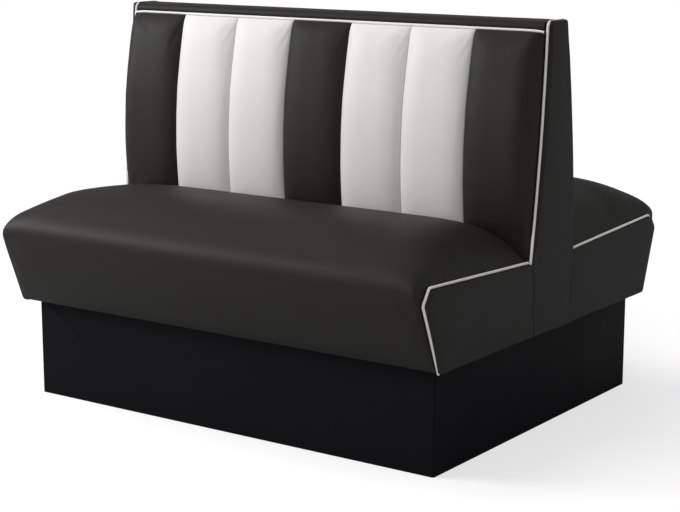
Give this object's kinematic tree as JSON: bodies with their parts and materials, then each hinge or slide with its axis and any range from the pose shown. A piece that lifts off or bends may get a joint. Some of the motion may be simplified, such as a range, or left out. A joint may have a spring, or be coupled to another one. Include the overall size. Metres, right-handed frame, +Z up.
{
  "type": "double-sided restaurant booth seating",
  "caption": "Back-to-back upholstered diner booth with two crowned bench seats, a shared channelled back with contrast piping and a recessed dark plinth.",
  "frame": {"origin": "on the floor under the middle of the booth", "axes": "+X along the bench, to the right of a person who faces the back from the front bench; +Y from the front bench to the rear bench; +Z up"},
  "size_m": [1.203, 1.084, 0.943],
  "materials": {
    "black_vinyl": "smooth semi-matt charcoal upholstery vinyl over foam",
    "white_vinyl": "smooth semi-matt white upholstery vinyl over foam",
    "piping_vinyl": "off-white vinyl piping over a cord",
    "plinth_leatherette": "matt black leatherette stretched over boards",
    "plywood": "raw birch plywood",
    "seat_foam": "cut upholstery foam",
    "zinc_steel": "zinc-plated hex bolts and nuts",
    "glide_plastic": "moulded nail-on furniture glide"
  },
  "bodies": {
    "root": {"back_front_board": "plywood", "back_front_cross_piping": "piping_vinyl", "back_left_post": "plywood", "back_left_side_panel": "black_vinyl", "back_low_rails": "plywood", "back_middle_post": "plywood", "back_rear_board": "plywood", "back_rear_cross_piping": "piping_vinyl", "back_right_post": "plywood", "back_right_side_panel": "black_vinyl", "back_side_piping": "piping_vinyl", "back_top_cap": "black_vinyl", "back_top_rail": "plywood", "frame_bolts": "zinc_steel", "front_channel_1": "black_vinyl", "front_channel_2": "white_vinyl", "front_channel_3": "white_vinyl", "front_channel_4": "black_vinyl", "front_channel_5": "white_vinyl", "front_channel_6": "white_vinyl", "front_channel_7": "black_vinyl", "front_seat_back_rail": "plywood", "front_seat_base_board": "plywood", "front_seat_cover": "black_vinyl", "front_seat_deck": "plywood", "front_seat_foam": "seat_foam", "front_seat_front_board": "plywood", "front_seat_left_end_board": "plywood", "front_seat_left_side_panel": "black_vinyl", "front_seat_piping": "piping_vinyl", "front_seat_ribs": "plywood", "front_seat_right_end_board": "plywood", "front_seat_right_side_panel": "black_vinyl", "glides": "glide_plastic", "plinth_bearers": "plywood", "plinth_corner_blocks": "plywood", "plinth_cover": "plinth_leatherette", "plinth_front_board": "plywood", "plinth_left_board": "plywood", "plinth_rear_board": "plywood", "plinth_right_board": "plywood", "rear_channel_1": "black_vinyl", "rear_channel_2": "white_vinyl", "rear_channel_3": "white_vinyl", "rear_channel_4": "black_vinyl", "rear_channel_5": "white_vinyl", "rear_channel_6": "white_vinyl", "rear_channel_7": "black_vinyl", "rear_seat_back_rail": "plywood", "rear_seat_base_board": "plywood", "rear_seat_cover": "black_vinyl", "rear_seat_deck": "plywood", "rear_seat_foam": "seat_foam", "rear_seat_front_board": "plywood", "rear_seat_left_end_board": "plywood", "rear_seat_left_side_panel": "black_vinyl", "rear_seat_piping": "piping_vinyl", "rear_seat_ribs": "plywood", "rear_seat_right_end_board": "plywood", "rear_seat_right_side_panel": "black_vinyl"}
  },
  "joints": []
}
